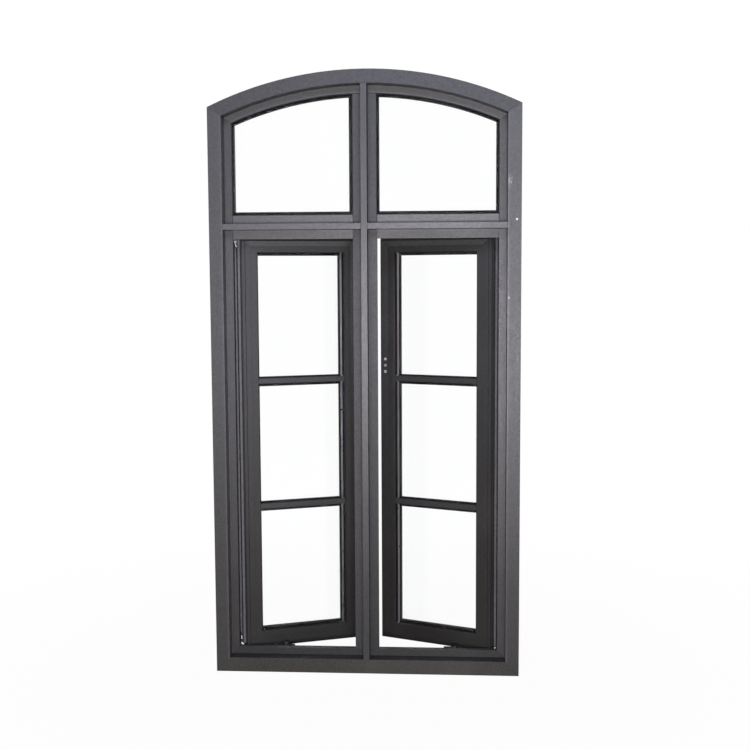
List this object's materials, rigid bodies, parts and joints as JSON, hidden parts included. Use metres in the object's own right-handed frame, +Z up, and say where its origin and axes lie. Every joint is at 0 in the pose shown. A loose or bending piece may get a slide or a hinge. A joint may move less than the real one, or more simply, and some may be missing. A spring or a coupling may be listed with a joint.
{
  "type": "arched double casement window",
  "caption": "Arched window with fixed glazed lights above a transom and glazed casements below, standing open outward on friction stays.",
  "frame": {"origin": "middle of the sill's underside, half way through the frame's depth", "axes": "+X right seen from the room, +Y out of the room, +Z up"},
  "size_m": [1, 0.2893, 1.9605],
  "materials": {
    "frame_coating": "fine textured satin powder coat",
    "glass": "clear double glazing",
    "black_seal": "matt black",
    "stay_steel": "brushed stainless"
  },
  "bodies": {
    "root": {"arched_head": "frame_coating", "left_jamb": "frame_coating", "right_jamb": "frame_coating", "sill": "frame_coating", "mullion": "frame_coating", "left_transom": "frame_coating", "right_transom": "frame_coating", "left_light_arch_bead": "frame_coating", "left_light_jamb_bead": "frame_coating", "left_light_mullion_bead": "frame_coating", "left_light_transom_bead": "frame_coating", "left_light_glass": "glass", "left_light_seals": "black_seal", "left_sash_hinge_stile": "frame_coating", "left_sash_lock_stile": "frame_coating", "left_sash_top_rail": "frame_coating", "left_sash_bottom_rail": "frame_coating", "left_sash_lower_bar": "frame_coating", "left_sash_upper_bar": "frame_coating", "left_sash_beads": "frame_coating", "left_sash_glass": "glass", "left_sash_seals": "black_seal", "left_frame_gasket": "black_seal", "left_top_stay_track": "stay_steel", "left_top_stay_arms": "stay_steel", "left_bottom_stay_track": "stay_steel", "left_bottom_stay_arms": "stay_steel", "right_light_arch_bead": "frame_coating", "right_light_jamb_bead": "frame_coating", "right_light_mullion_bead": "frame_coating", "right_light_transom_bead": "frame_coating", "right_light_glass": "glass", "right_light_seals": "black_seal", "right_sash_hinge_stile": "frame_coating", "right_sash_lock_stile": "frame_coating", "right_sash_top_rail": "frame_coating", "right_sash_bottom_rail": "frame_coating", "right_sash_lower_bar": "frame_coating", "right_sash_upper_bar": "frame_coating", "right_sash_beads": "frame_coating", "right_sash_glass": "glass", "right_sash_seals": "black_seal", "right_frame_gasket": "black_seal", "right_top_stay_track": "stay_steel", "right_top_stay_arms": "stay_steel", "right_bottom_stay_track": "stay_steel", "right_bottom_stay_arms": "stay_steel"}
  },
  "joints": []
}
